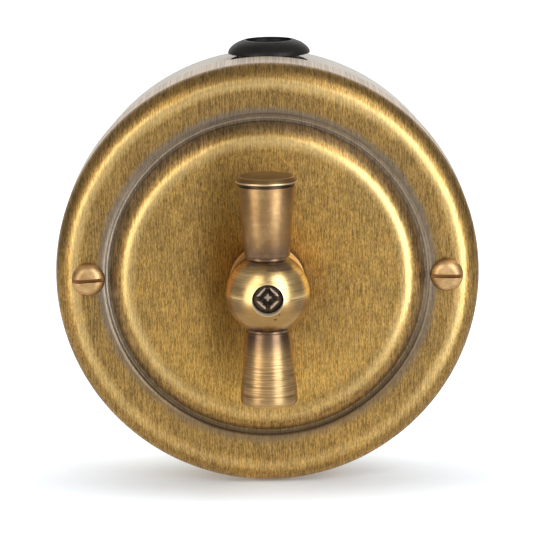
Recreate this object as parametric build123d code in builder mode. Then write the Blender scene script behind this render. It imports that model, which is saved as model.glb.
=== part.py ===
"""Surface rotary light switch: ivory base, drawn brass cover and turned barbell handle.

The wall is the plane Y = 0 and the switch stands out from it towards -Y, with +Z up.
The handle turns about the line through the origin square to the wall.
Depths are measured forward from the wall.
"""
from build123d import *
import os
from math import sqrt

# Fits and clearances
shaft_gap = 0.05
slide_gap = 0.1
run_gap = 0.3
drum_gap = 0.25

# Cover
cover_d = 90.0
cover_sheet = 1.0
cover_depth = 15.7
ring_front = 41.0
rim_round = 4.6
ring_w = 5.7
groove_depth = 0.6
groove_w = 0.8
shoulder_w = 4.9
disc_rise = 3.6
cover_hole_d = 9.0

# Cover screws and the inserts that take them
screw_inset = 7.1
cover_thread_d = 4.0
cover_screw_l = 12.0
cover_head_d = 7.0
cover_head_h = 2.4
cover_head_round = 2.1
cover_slot_w = 0.75
cover_slot_depth = 1.2
insert_wall = 0.7
insert_l = 9.0

# Base
base_gap = 0.5
base_wall = 3.0
base_floor = 3.5
base_step = 0.9
base_edge = 1.2
lug_d = 8.8
lug_edge = 1.3
fix_pitch = 60.0
fix_hole_d = 4.5
fix_boss_d = 10.0
fix_boss_h = 2.0

# Cable entry and grommet
entry_side = 1.0
entry_depth = 13.0
entry_recess_d = 16.8
entry_recess_depth = 2.6
entry_web = 2.0
entry_boss_wall = 1.4
entry_hole_d = 11.6
grommet_bore_d = 7.0
grommet_lip_d = 14.0
grommet_lip_h = 1.5
grommet_stem_d = 13.2
grommet_stand = 0.8
grommet_flange_d = 17.8
grommet_edge = 0.5
grommet_dome_h = 2.4
grommet_top_d = 10.9
grommet_cup_d = 9.4
grommet_cup_depth = 0.9

# Earth strap, terminal and screw
strap_t = 0.5
strap_w = 8.0
strap_toe = 0.5
earth_l = 6.5
earth_w = 7.0
earth_h = 8.0
earth_inset = 0.7
earth_wire_d = 3.0
earth_wire_h = 2.8
earth_thread_d = 3.5
earth_head_d = 5.6
earth_head_h = 1.8

# Mechanism body
body_room = 2.2
body_w = 32.0
body_h = 17.0
body_round = 3.0
cavity_d = 19.0
cavity_floor = 3.3
foot_bore_depth = 2.5
ear_d = 8.0
ear_t = 3.0
ear_stand = 4.5
ear_screw_d = 3.0
ear_screw_l = 8.0
ear_head_d = 5.6
ear_head_h = 2.0

# Rotor, its inlaid contact ring and the spindle
drum_d = 14.8
drum_h = 7.6
cam_side = 12.4
cam_h = 4.8
cam_round = 1.0
ring_t = 0.9
ring_h = 2.3
tab_h = 2.2
ring_inset = 0.35
tab_angle = 80.0
square_side = 4.8
spindle_d = 7.0
spindle_pin_d = 4.9
spindle_head_d = 8.8
spindle_head_h = 0.8
clip_groove_d = 5.8

# Detent springs
leaf_t = 0.5
leaf_w = 3.4
leaf_l = 26.0
leaf_seat = 2.0
flex_room = 2.6

# Terminals and contact springs
block_l = 7.0
block_w = 8.0
block_h = 8.0
block_end = 2.0
block_shift = 2.3
block_drop = 0.6
block_wire_d = 3.2
block_wire_depth = 5.5
block_wire_h = 4.0
clamp_d = 3.0
clamp_head_d = 5.0
clamp_head_h = 1.5
finger_t = 0.5
finger_w = 1.8
finger_grip = 3.0
finger_past = 1.5

# Mechanism cap and its screws
cap_inset = 2.0
cap_t = 3.0
cap_hub_d = 12.0
cap_hub_h = 1.5
cap_pitch = 24.4
cap_thread_d = 2.5
cap_screw_l = 8.0
cap_head_d = 4.6
cap_head_h = 1.6

# Washer and retaining clip
washer_d = 11.0
washer_t = 0.4
clip_d = 10.4
clip_t = 0.8
clip_mouth = 4.2

# Handle, collar and handle screw
ball_d = 17.3
ball_stand = 3.25
arm_foot_d = 9.3
arm_end_d = 11.8
arm_up_l = 22.6
lip_d = 12.8
lip_t = 0.4
lip_groove_d = 11.0
lip_groove_w = 0.65
crown_d = 11.2
crown_h = 0.95
arm_down_l = 23.2
end_band = 2.4
end_edge = 0.5
foot_groove_d = 8.9
foot_groove_w = 0.42
collar_d = 16.4
collar_t = 2.5
collar_edge = 0.5
collar_hub_d = 10.4
socket_depth = 9.2
handle_bore_d = 6.5
handle_bore_depth = 4.85
handle_thread_d = 3.0
handle_screw_l = 11.0
handle_head_d = 6.0
handle_head_h = 2.2
cross_w = 0.9
cross_l = 3.6
cross_depth = 1.2

# Depths and radii that follow from these sizes
cover_r = cover_d / 2
ring_back = ring_front - cover_sheet
rim_start = ring_front - rim_round
skirt_back = ring_front - cover_depth
disc_front = ring_front + disc_rise
ring_in_r = cover_r - rim_round - ring_w
groove_r = ring_in_r - groove_depth
shoulder_r = groove_r - groove_w
disc_r = shoulder_r - shoulder_w
screw_r = cover_r - screw_inset

base_r = cover_r - cover_sheet - base_gap
base_in_r = base_r - base_wall
base_h = rim_start - base_step
lug_top = ring_back - groove_depth - slide_gap - strap_t
insert_d = cover_thread_d + 2 * insert_wall

strap_x = screw_r - lug_d / 2 - slide_gap - strap_t
strap_top = lug_top + strap_t
earth_x = strap_x - earth_inset - earth_l / 2
earth_back = base_floor + strap_t
toe_x = earth_x - earth_l / 2 - strap_toe

recess_z = base_r - entry_recess_depth
web_z = recess_z - entry_web
entry_boss_r = entry_recess_d / 2 + entry_boss_wall
flange_z = base_r + grommet_stand
grommet_top = flange_z + grommet_edge + grommet_dome_h

body_l = 2 * (toe_x - body_room)
block_outer = body_l / 2 - block_end
block_inner = block_outer - block_l
block_x = block_outer - block_l / 2
cap_l = 2 * (block_inner - cap_inset)
ear_back = base_floor + ear_stand
ear_pitch = body_w + ear_d + 2 * slide_gap
body_front = base_floor + body_h
cavity_back = base_floor + cavity_floor
rotor_back = cavity_back + run_gap + spindle_head_h
drum_front = rotor_back + drum_h
rotor_front = drum_front + cam_h
cap_back = max(body_front, rotor_front + run_gap)
cap_front = cap_back + cap_t
hub_front = cap_front + cap_hub_h
washer_front = hub_front + washer_t
clip_front = washer_front + clip_t

tab_back = rotor_back + ring_inset
ring_start = tab_back + tab_h
ring_end = ring_start + ring_h
tab_front = ring_end + tab_h

leaf_mid = (drum_front + rotor_front) / 2
leaf_x = cam_side / 2 + run_gap
block_back = rotor_back - block_drop
finger_z = drum_d / 2 + drum_gap
finger_mid = finger_z + finger_t / 2
block_z = finger_mid + block_shift

collar_back = disc_front + run_gap
collar_front = collar_back + collar_t
ball_r = ball_d / 2
ball_depth = collar_front + ball_stand + ball_r
bore_back = ball_depth + ball_r - handle_bore_depth
spindle_back = cavity_back - foot_bore_depth + shaft_gap
socket_front = ball_depth + shaft_gap

half_section = Plane(origin=(0, 0, 0), x_dir=(1, 0, 0), z_dir=(0, 0, -1))
handle_plane = Plane.XZ.offset(ball_depth)
entry_section = Plane(origin=(entry_side, -entry_depth, 0), x_dir=(1, 0, 0), z_dir=(0, -1, 0))
os.makedirs("parts", exist_ok=True)


# Cover: one drawn dish with a rounded rim, a flat ring, a groove and a raised disc
with BuildPart() as cover:
    with BuildSketch(half_section):
        with BuildLine():
            Line((cover_hole_d / 2, disc_front), (disc_r, disc_front))
            TangentArc((disc_r, disc_front), (shoulder_r, ring_front - groove_depth), tangent=(1, 0))
            Polyline(
                (shoulder_r, ring_front - groove_depth),
                (groove_r, ring_front - groove_depth),
                (ring_in_r, ring_front),
                (cover_r - rim_round, ring_front),
            )
            TangentArc((cover_r - rim_round, ring_front), (cover_r, rim_start), tangent=(1, 0))
            Line((cover_r, rim_start), (cover_r, skirt_back))
            offset(amount=cover_sheet, side=Side.RIGHT, kind=Kind.INTERSECTION)
        make_face()
    revolve(axis=Axis.Y)
    with BuildSketch(Plane.XZ.offset(ring_back)):
        with GridLocations(2 * screw_r, 0, 2, 1):
            Circle(cover_thread_d / 2 + slide_gap)
    extrude(amount=cover_sheet, mode=Mode.SUBTRACT)
cover.part.label = "cover"
export_step(cover.part, "parts/cover.step")


# Base: moulded cup with two cover lugs, two mechanism posts, two wall holes and the cable entry
with BuildPart() as base:
    with BuildSketch(half_section):
        with BuildLine():
            Polyline((0, 0), (base_r, 0), (base_r, base_h), (base_in_r, base_h))
            Polyline((base_in_r, base_h), (base_in_r, base_floor), (0, base_floor), (0, 0))
        make_face()
    revolve(axis=Axis.Y)
    fillet(base.edges().filter_by(GeomType.CIRCLE).group_by(Axis.Y)[0].sort_by(SortBy.RADIUS)[-1:], base_edge)
    with BuildSketch(Plane.XZ.offset(base_floor)):
        with GridLocations(0, ear_pitch, 1, 2):
            Circle(ear_d / 2)
    extrude(amount=ear_stand)
    with BuildSketch(Plane.XZ.offset(base_floor)):
        with GridLocations(0, fix_pitch, 1, 2):
            Circle(fix_boss_d / 2)
    extrude(amount=fix_boss_h)
    with BuildSketch(Plane.XZ.offset(base_floor)):
        with GridLocations(2 * screw_r, 0, 2, 1):
            Circle(lug_d / 2)
    extrude(amount=lug_top - base_floor)
    chamfer(base.faces().filter_by(Axis.Y).group_by(Axis.Y)[0].edges(), lug_edge)
    with BuildSketch(Plane.XY.offset(web_z)):
        with Locations((entry_side, -entry_depth)):
            Circle(entry_boss_r)
    extrude(amount=(recess_z + base_in_r) / 2 - web_z)
    with BuildSketch(Plane.XY.offset(recess_z)):
        with Locations((entry_side, -entry_depth)):
            Circle(entry_recess_d / 2)
    extrude(amount=entry_recess_depth + grommet_stand, mode=Mode.SUBTRACT)
    with BuildSketch(Plane.XY.offset(web_z)):
        with Locations((entry_side, -entry_depth)):
            Circle(entry_hole_d / 2)
    extrude(amount=entry_web, mode=Mode.SUBTRACT)
    with BuildSketch(Plane.XZ):
        with GridLocations(0, fix_pitch, 1, 2):
            Circle(fix_hole_d / 2)
    extrude(amount=base_floor + fix_boss_h, mode=Mode.SUBTRACT)
    with BuildSketch(Plane.XZ.offset(ear_back)):
        with GridLocations(0, ear_pitch, 1, 2):
            Circle(ear_screw_d / 2)
    extrude(amount=ear_t - ear_screw_l, mode=Mode.SUBTRACT)
    with BuildSketch(Plane.XZ.offset(lug_top)):
        with GridLocations(2 * screw_r, 0, 2, 1):
            Circle(insert_d / 2)
    extrude(amount=ring_back - insert_l - lug_top, mode=Mode.SUBTRACT)
    with BuildSketch(Plane.XZ.offset(ring_back - insert_l)):
        with GridLocations(2 * screw_r, 0, 2, 1):
            Circle(cover_thread_d / 2 + slide_gap)
    extrude(amount=insert_l - cover_screw_l, mode=Mode.SUBTRACT)
base.part.label = "base"
export_step(base.part, "parts/base.step")


# Cover inserts: threaded brass bushes that stand proud of the lugs and carry the cover
with BuildPart() as cover_inserts:
    with BuildSketch(Plane.XZ.offset(ring_back)):
        with GridLocations(2 * screw_r, 0, 2, 1):
            Circle(insert_d / 2)
            Circle(cover_thread_d / 2, mode=Mode.SUBTRACT)
    extrude(amount=-insert_l)
cover_inserts.part.label = "cover_inserts"
export_step(cover_inserts.part, "parts/cover_inserts.step")


def slotted_screws(spots, seat, thread_d, length, head_d, head_h, slot_w, slot_depth, head_round):
    """Slotted screws with the head's underside at depth seat, one at each spot on the wall plane."""
    with BuildPart() as screws:
        with BuildSketch(Plane.XZ.offset(seat)):
            with Locations(*spots):
                Circle(thread_d / 2 - shaft_gap)
        extrude(amount=-length)
        with BuildSketch(Plane.XZ.offset(seat)):
            with Locations(*spots):
                Circle(head_d / 2)
        extrude(amount=head_h)
        fillet(screws.faces().filter_by(Axis.Y).group_by(Axis.Y)[0].edges(), head_round)
        with BuildSketch(Plane.XZ.offset(seat + head_h)):
            with Locations(*spots):
                Rectangle(head_d + head_h, slot_w)
        extrude(amount=-slot_depth, mode=Mode.SUBTRACT)
    return screws


# Cover screws: slotted round-head brass screws through the flat ring
cover_screws = slotted_screws(
    [(-screw_r, 0), (screw_r, 0)], ring_front, cover_thread_d, cover_screw_l,
    cover_head_d, cover_head_h, cover_slot_w, cover_slot_depth, cover_head_round,
)
cover_screws.part.label = "cover_screws"
export_step(cover_screws.part, "parts/cover_screws.step")


# Cable grommet: moulded rubber with a flange, a web groove and an inner lip
with BuildPart() as cable_grommet:
    with BuildSketch(entry_section):
        with BuildLine():
            Polyline(
                (grommet_bore_d / 2, web_z - grommet_lip_h),
                (grommet_lip_d / 2, web_z - grommet_lip_h / 3),
                (grommet_lip_d / 2, web_z),
                (entry_hole_d / 2 - shaft_gap, web_z),
                (entry_hole_d / 2 - shaft_gap, recess_z),
                (grommet_stem_d / 2, recess_z),
                (grommet_stem_d / 2, flange_z),
                (grommet_flange_d / 2, flange_z),
                (grommet_flange_d / 2, flange_z + grommet_edge),
            )
            TangentArc(
                (grommet_top_d / 2, grommet_top),
                (grommet_flange_d / 2, flange_z + grommet_edge),
                tangent=(3, -1),
            )
            Polyline(
                (grommet_top_d / 2, grommet_top),
                (grommet_cup_d / 2, grommet_top),
                (grommet_cup_d / 2, grommet_top - grommet_cup_depth),
                (grommet_bore_d / 2, grommet_top - grommet_cup_depth),
                (grommet_bore_d / 2, web_z - grommet_lip_h),
            )
        make_face()
    revolve(axis=Axis((entry_side, -entry_depth, 0), (0, 0, 1)))
cable_grommet.part.label = "cable_grommet"
export_step(cable_grommet.part, "parts/cable_grommet.step")


# Earth strap: bent brass strip under the terminal, up the lug and round the insert
with BuildPart() as earth_strap:
    with BuildSketch(half_section):
        with BuildLine():
            Polyline(
                (toe_x, base_floor),
                (strap_x + strap_t, base_floor),
                (strap_x + strap_t, lug_top),
                (screw_r, lug_top),
                (screw_r, strap_top),
                (strap_x, strap_top),
                (strap_x, base_floor + strap_t),
                (toe_x, base_floor + strap_t),
                close=True,
            )
        make_face()
    extrude(amount=strap_w / 2, both=True)
    with BuildSketch(Plane.XZ.offset(lug_top)):
        with Locations((screw_r, 0)):
            Circle(strap_w / 2)
    extrude(amount=strap_t)
    with BuildSketch(Plane.XZ.offset(lug_top)):
        with Locations((screw_r, 0)):
            Circle(insert_d / 2 + shaft_gap)
    extrude(amount=strap_t, mode=Mode.SUBTRACT)
earth_strap.part.label = "earth_strap"
export_step(earth_strap.part, "parts/earth_strap.step")


# Earth terminal: brass block on the strap's foot
with BuildPart() as earth_terminal:
    with BuildSketch(Plane.XZ.offset(earth_back)):
        with Locations((earth_x, 0)):
            Rectangle(earth_l, earth_w)
    extrude(amount=earth_h)
    with BuildSketch(Plane.XY.offset(-earth_w / 2)):
        with Locations((earth_x, -earth_back - earth_wire_h)):
            Circle(earth_wire_d / 2)
    extrude(amount=earth_w, mode=Mode.SUBTRACT)
    with BuildSketch(Plane.XZ.offset(earth_back + earth_h)):
        with Locations((earth_x, 0)):
            Circle(earth_thread_d / 2)
    extrude(amount=earth_wire_h - earth_h, mode=Mode.SUBTRACT)
earth_terminal.part.label = "earth_terminal"
export_step(earth_terminal.part, "parts/earth_terminal.step")

earth_screw = slotted_screws(
    [(earth_x, 0)], earth_back + earth_h, earth_thread_d, earth_h - earth_wire_h - earth_wire_d / 2,
    earth_head_d, earth_head_h, cover_slot_w, earth_head_h / 2, earth_head_h / 4,
)
earth_screw.part.label = "earth_screw"
export_step(earth_screw.part, "parts/earth_screw.step")


# Mechanism body: moulded block with the rotor's cavity, terminal pockets and two ears
with BuildPart() as mechanism_body:
    with BuildSketch(Plane.XZ.offset(base_floor)):
        RectangleRounded(body_l, body_w, body_round)
    extrude(amount=cap_back - base_floor)
    with BuildSketch(Plane.XZ.offset(ear_back)):
        SlotCenterToCenter(ear_pitch, ear_d, rotation=90)
    extrude(amount=ear_t)
    with BuildSketch(Plane.XZ.offset(cavity_back)):
        Circle(cavity_d / 2)
    extrude(amount=cap_back - cavity_back, mode=Mode.SUBTRACT)
    with BuildSketch(Plane.XZ.offset(cavity_back)):
        Circle(spindle_pin_d / 2 + shaft_gap)
    extrude(amount=-foot_bore_depth, mode=Mode.SUBTRACT)
    with BuildSketch(Plane.XZ.offset(block_back)):
        with GridLocations(2 * block_x, 2 * block_z, 2, 2):
            Rectangle(block_l + 2 * slide_gap, block_w + 2 * slide_gap)
        with GridLocations(0, 2 * finger_mid, 1, 2):
            Rectangle(2 * block_inner, finger_t + 2 * run_gap)
    extrude(amount=cap_back - block_back, mode=Mode.SUBTRACT)
    with BuildSketch(Plane.XZ.offset(leaf_mid - leaf_w / 2 - slide_gap)):
        with GridLocations(2 * leaf_x + leaf_t, 0, 2, 1):
            Rectangle(leaf_t + 2 * slide_gap, leaf_l + 2 * slide_gap)
        Rectangle(2 * (leaf_x + flex_room), leaf_l - 2 * leaf_seat)
    extrude(amount=cap_back - leaf_mid + leaf_w / 2 + slide_gap, mode=Mode.SUBTRACT)
    with BuildSketch(Plane.YZ.offset(-body_l / 2)):
        with Locations((-block_back - block_wire_h, 0)):
            with GridLocations(0, 2 * block_z, 1, 2):
                Circle(block_wire_d / 2 + slide_gap)
    extrude(amount=body_l / 2 - block_outer, mode=Mode.SUBTRACT)
    with BuildSketch(Plane.YZ.offset(block_outer)):
        with Locations((-block_back - block_wire_h, 0)):
            with GridLocations(0, 2 * block_z, 1, 2):
                Circle(block_wire_d / 2 + slide_gap)
    extrude(amount=body_l / 2 - block_outer, mode=Mode.SUBTRACT)
    with BuildSketch(Plane.XZ.offset(ear_back)):
        with GridLocations(0, ear_pitch, 1, 2):
            Circle(ear_screw_d / 2 + slide_gap)
    extrude(amount=ear_t, mode=Mode.SUBTRACT)
    with BuildSketch(Plane.XZ.offset(cap_back)):
        with GridLocations(0, cap_pitch, 1, 2):
            Circle(cap_thread_d / 2)
    extrude(amount=cap_t - cap_screw_l, mode=Mode.SUBTRACT)
mechanism_body.part.label = "mechanism_body"
export_step(mechanism_body.part, "parts/mechanism_body.step")

mechanism_screws = slotted_screws(
    [(0, -ear_pitch / 2), (0, ear_pitch / 2)], ear_back + ear_t, ear_screw_d, ear_screw_l,
    ear_head_d, ear_head_h, cover_slot_w, ear_head_h / 2, ear_head_h / 4,
)
mechanism_screws.part.label = "mechanism_screws"
export_step(mechanism_screws.part, "parts/mechanism_screws.step")


# Mechanism cap: plate over the cavity with the spindle's bearing hub
with BuildPart() as mechanism_cap:
    with BuildSketch(Plane.XZ.offset(cap_back)):
        RectangleRounded(cap_l, body_w, body_round)
    extrude(amount=cap_t)
    with BuildSketch(Plane.XZ.offset(cap_front)):
        Circle(cap_hub_d / 2)
    extrude(amount=cap_hub_h)
    with BuildSketch(Plane.XZ.offset(cap_back)):
        Circle(spindle_d / 2 + shaft_gap)
        with GridLocations(0, cap_pitch, 1, 2):
            Circle(cap_thread_d / 2 + slide_gap)
    extrude(amount=cap_t + cap_hub_h, mode=Mode.SUBTRACT)
mechanism_cap.part.label = "mechanism_cap"
export_step(mechanism_cap.part, "parts/mechanism_cap.step")

cap_screws = slotted_screws(
    [(0, -cap_pitch / 2), (0, cap_pitch / 2)], cap_front, cap_thread_d, cap_screw_l,
    cap_head_d, cap_head_h, cover_slot_w, cap_head_h / 2, cap_head_h / 4,
)
cap_screws.part.label = "cap_screws"
export_step(cap_screws.part, "parts/cap_screws.step")


# Contact springs: flat fingers that lie along the drum, two on its ring and one on each tab row
finger_rows = {
    (-1, 1): (ring_start + ring_end) / 2,
    (-1, -1): (ring_start + ring_end) / 2,
    (1, 1): (ring_end + tab_front) / 2,
    (1, -1): (tab_back + ring_start) / 2,
}
with BuildPart() as contact_springs:
    for (side, level), depth in finger_rows.items():
        with BuildSketch(Plane.XZ.offset(depth - finger_w / 2)):
            with BuildLine():
                lift = level * finger_t
                tip = (-side * finger_past, level * finger_z)
                end = (-side * 2 * finger_past, level * finger_z + lift)
                tail = (side * (block_inner + finger_grip), level * finger_z)
                leaf = Line(tail, tip)
                curl = TangentArc(tip, end, tangent=leaf % 1)
                Line(end, curl @ 1 + (0, lift))
                Line(tail, leaf @ 0 + (0, lift))
                back = Line(leaf @ 0 + (0, lift), leaf @ 1 + (0, lift))
                TangentArc(back @ 1, curl @ 1 + (0, lift), tangent=back % 1)
            make_face()
        extrude(amount=finger_w)
contact_springs.part.label = "contact_springs"
export_step(contact_springs.part, "parts/contact_springs.step")


# Terminal blocks: four brass blocks with a slot for the contact spring and a wire hole
with BuildPart() as terminal_blocks:
    with BuildSketch(Plane.XZ.offset(block_back)):
        with GridLocations(2 * block_x, 2 * block_z, 2, 2):
            Rectangle(block_l, block_w)
    extrude(amount=block_h)
    for (side, level), depth in finger_rows.items():
        with BuildSketch(Plane.XZ.offset(depth - finger_w / 2)):
            with Locations((side * (block_inner + finger_grip / 2), level * finger_mid)):
                Rectangle(finger_grip, finger_t)
        extrude(amount=finger_w, mode=Mode.SUBTRACT)
        with BuildSketch(Plane.YZ.offset(side * block_outer)):
            with Locations((-block_back - block_wire_h, level * block_z)):
                Circle(block_wire_d / 2)
        extrude(amount=-side * block_wire_depth, mode=Mode.SUBTRACT)
    with BuildSketch(Plane.XZ.offset(block_back + block_h)):
        with GridLocations(2 * block_x, 2 * block_z, 2, 2):
            Circle(clamp_d / 2)
    extrude(amount=block_wire_h - block_h, mode=Mode.SUBTRACT)
terminal_blocks.part.label = "terminal_blocks"
export_step(terminal_blocks.part, "parts/terminal_blocks.step")

terminal_screws = slotted_screws(
    [(side * block_x, level * block_z) for side, level in finger_rows],
    block_back + block_h, clamp_d, block_h - block_wire_h - block_wire_d / 2,
    clamp_head_d, clamp_head_h, cover_slot_w, clamp_head_h / 2, clamp_head_h / 4,
)
terminal_screws.part.label = "terminal_screws"
export_step(terminal_screws.part, "parts/terminal_screws.step")


# Detent springs: two straight leaves, one on each side of the square cam
with BuildPart() as detent_springs:
    with BuildSketch(Plane.XZ.offset(leaf_mid - leaf_w / 2)):
        with GridLocations(2 * leaf_x + leaf_t, 0, 2, 1):
            Rectangle(leaf_t, leaf_l)
    extrude(amount=leaf_w)
detent_springs.part.label = "detent_springs"
export_step(detent_springs.part, "parts/detent_springs.step")


# Contact ring: one brass ring with two opposite tabs behind it and two in front, a quarter turn on
def ring_tabs(start):
    """The two opposite tab sectors of the contact ring, the first one centred on angle start."""
    with BuildSketch() as sectors:
        with PolarLocations(0, 2, start_angle=start):
            with BuildLine():
                first = PolarLine((0, 0), drum_d, -tab_angle / 2)
                last = PolarLine((0, 0), drum_d, tab_angle / 2)
                Line(first @ 1, last @ 1)
            make_face()
        Circle(drum_d / 2, mode=Mode.INTERSECT)
        Circle(drum_d / 2 - ring_t, mode=Mode.SUBTRACT)
    return sectors.sketch


with BuildPart() as contact_ring:
    with BuildSketch(Plane.XZ.offset(ring_start)):
        Circle(drum_d / 2)
        Circle(drum_d / 2 - ring_t, mode=Mode.SUBTRACT)
    extrude(amount=ring_h)
    with BuildSketch(Plane.XZ.offset(tab_back)):
        add(ring_tabs(90))
    extrude(amount=tab_h)
    with BuildSketch(Plane.XZ.offset(ring_end)):
        add(ring_tabs(0))
    extrude(amount=tab_h)
contact_ring.part.label = "contact_ring"
export_step(contact_ring.part, "parts/contact_ring.step")


# Rotor: moulded drum with the contact ring inlaid, the square detent cam and a square bore
with BuildPart() as rotor:
    with BuildSketch(Plane.XZ.offset(rotor_back)):
        Circle(drum_d / 2)
    extrude(amount=drum_h)
    with BuildSketch(Plane.XZ.offset(drum_front)):
        RectangleRounded(cam_side, cam_side, cam_round)
    extrude(amount=cam_h)
    with BuildSketch(Plane.XZ.offset(rotor_back)):
        Rectangle(square_side, square_side)
    extrude(amount=drum_h + cam_h, mode=Mode.SUBTRACT)
    add(contact_ring.part, mode=Mode.SUBTRACT)
rotor.part.label = "rotor"
export_step(rotor.part, "parts/rotor.step")


# Spindle: pin, head, square for the rotor, round bearing stretch and square for the handle
with BuildPart() as spindle:
    with BuildSketch(Plane.XZ.offset(spindle_back)):
        Circle(spindle_pin_d / 2)
    extrude(amount=rotor_back - spindle_back)
    with BuildSketch(Plane.XZ.offset(rotor_back)):
        Circle(spindle_head_d / 2)
    extrude(amount=-spindle_head_h)
    with BuildSketch(Plane.XZ.offset(rotor_back)):
        Rectangle(square_side, square_side)
    extrude(amount=ball_depth - rotor_back)
    with BuildSketch(Plane.XZ.offset(rotor_front)):
        Circle(spindle_d / 2)
    extrude(amount=socket_front - socket_depth - rotor_front)
    with BuildSketch(Plane.XZ.offset(washer_front)):
        Circle(spindle_d / 2 + slide_gap)
        Circle(clip_groove_d / 2, mode=Mode.SUBTRACT)
    extrude(amount=clip_t, mode=Mode.SUBTRACT)
    with BuildSketch(Plane.XZ.offset(ball_depth)):
        Circle(handle_thread_d / 2)
    extrude(amount=bore_back - ball_depth - handle_screw_l, mode=Mode.SUBTRACT)
spindle.part.label = "spindle"
export_step(spindle.part, "parts/spindle.step")


# Spindle washer between the bearing hub and the clip
with BuildPart() as spindle_washer:
    with BuildSketch(Plane.XZ.offset(hub_front)):
        Circle(washer_d / 2)
        Circle(spindle_d / 2 + shaft_gap, mode=Mode.SUBTRACT)
    extrude(amount=washer_t)
spindle_washer.part.label = "spindle_washer"
export_step(spindle_washer.part, "parts/spindle_washer.step")


# Spindle clip: open spring ring in the spindle's groove
with BuildPart() as spindle_clip:
    with BuildSketch(Plane.XZ.offset(washer_front)):
        Circle(clip_d / 2)
        Circle(clip_groove_d / 2 + shaft_gap, mode=Mode.SUBTRACT)
        with Locations((clip_d / 4, 0)):
            Rectangle(clip_d / 2, clip_mouth, mode=Mode.SUBTRACT)
    extrude(amount=clip_t)
spindle_clip.part.label = "spindle_clip"
export_step(spindle_clip.part, "parts/spindle_clip.step")


# Handle collar: turned flange over the cover's hole, with a hub whose front seats the ball
with BuildPart() as handle_collar:
    with BuildSketch(Plane.XZ.offset(collar_back)):
        Circle(collar_d / 2)
    extrude(amount=collar_t)
    fillet(handle_collar.edges().group_by(Axis.Y)[0], collar_edge)
    with BuildSketch(Plane.XZ.offset(collar_front)):
        Circle(collar_hub_d / 2)
    extrude(amount=ball_depth - collar_front)
    with Locations((0, -ball_depth, 0)):
        Sphere(ball_r + shaft_gap, mode=Mode.SUBTRACT)
    with BuildSketch(Plane.XZ.offset(collar_back)):
        Circle(spindle_d / 2 + shaft_gap)
    extrude(amount=ball_depth - collar_back, mode=Mode.SUBTRACT)
handle_collar.part.label = "handle_collar"
export_step(handle_collar.part, "parts/handle_collar.step")


# Handle: one turned barbell, drilled and squared across the ball for the spindle and its screw
foot_r = arm_foot_d / 2
groove_edge = sqrt(ball_r**2 - (foot_groove_d / 2) ** 2)
arm_start = groove_edge + foot_groove_w
lip_back = arm_up_l + lip_groove_w
with BuildPart() as handle:
    with BuildSketch(handle_plane):
        with BuildLine():
            Polyline(
                (0, arm_up_l + lip_groove_w + lip_t + crown_h),
                (crown_d / 2, lip_back + lip_t + crown_h),
                (lip_d / 2, lip_back + lip_t),
                (lip_d / 2, lip_back),
                (lip_groove_d / 2, lip_back),
                (lip_groove_d / 2, arm_up_l),
                (arm_end_d / 2, arm_up_l),
                (foot_r, arm_start),
                (foot_groove_d / 2, arm_start),
                (foot_groove_d / 2, groove_edge),
            )
            ThreePointArc(
                (foot_groove_d / 2, groove_edge), (ball_r, 0), (foot_groove_d / 2, -groove_edge),
            )
            Polyline(
                (foot_groove_d / 2, -groove_edge),
                (foot_groove_d / 2, -arm_start),
                (foot_r, -arm_start),
                (arm_end_d / 2, end_band - arm_down_l),
                (arm_end_d / 2, end_edge - arm_down_l),
                (arm_end_d / 2 - end_edge, -arm_down_l),
                (0, -arm_down_l),
                (0, arm_up_l + lip_groove_w + lip_t + crown_h),
            )
        make_face()
    revolve(axis=Axis((0, -ball_depth, 0), (0, 0, 1)))
    with BuildSketch(Plane.XZ.offset(bore_back)):
        Circle(handle_bore_d / 2)
    extrude(amount=handle_bore_depth, mode=Mode.SUBTRACT)
    with BuildSketch(Plane.XZ.offset(ball_depth)):
        Circle(handle_thread_d / 2 + slide_gap)
    extrude(amount=bore_back - ball_depth, mode=Mode.SUBTRACT)
    with BuildSketch(Plane.XZ.offset(ball_depth - ball_r)):
        Rectangle(square_side + 2 * shaft_gap, square_side + 2 * shaft_gap)
    extrude(amount=ball_r + shaft_gap, mode=Mode.SUBTRACT)
handle.part.label = "handle"
export_step(handle.part, "parts/handle.step")


# Handle screw: cross-recess pan head at the bottom of the ball's bore
with BuildPart() as handle_screw:
    with BuildSketch(Plane.XZ.offset(bore_back)):
        Circle(handle_thread_d / 2 - shaft_gap)
    extrude(amount=-handle_screw_l)
    with BuildSketch(Plane.XZ.offset(bore_back)):
        Circle(handle_head_d / 2)
    extrude(amount=handle_head_h)
    fillet(handle_screw.edges().group_by(Axis.Y)[0], handle_head_h / 2)
    with BuildSketch(Plane.XZ.offset(bore_back + handle_head_h)):
        Rectangle(cross_l, cross_w)
        Rectangle(cross_w, cross_l)
    extrude(amount=-cross_depth, mode=Mode.SUBTRACT)
handle_screw.part.label = "handle_screw"
export_step(handle_screw.part, "parts/handle_screw.step")
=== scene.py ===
from math import cos, pi, radians, sin, sqrt

import bmesh
import bpy
from mathutils import Matrix, Vector


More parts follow.
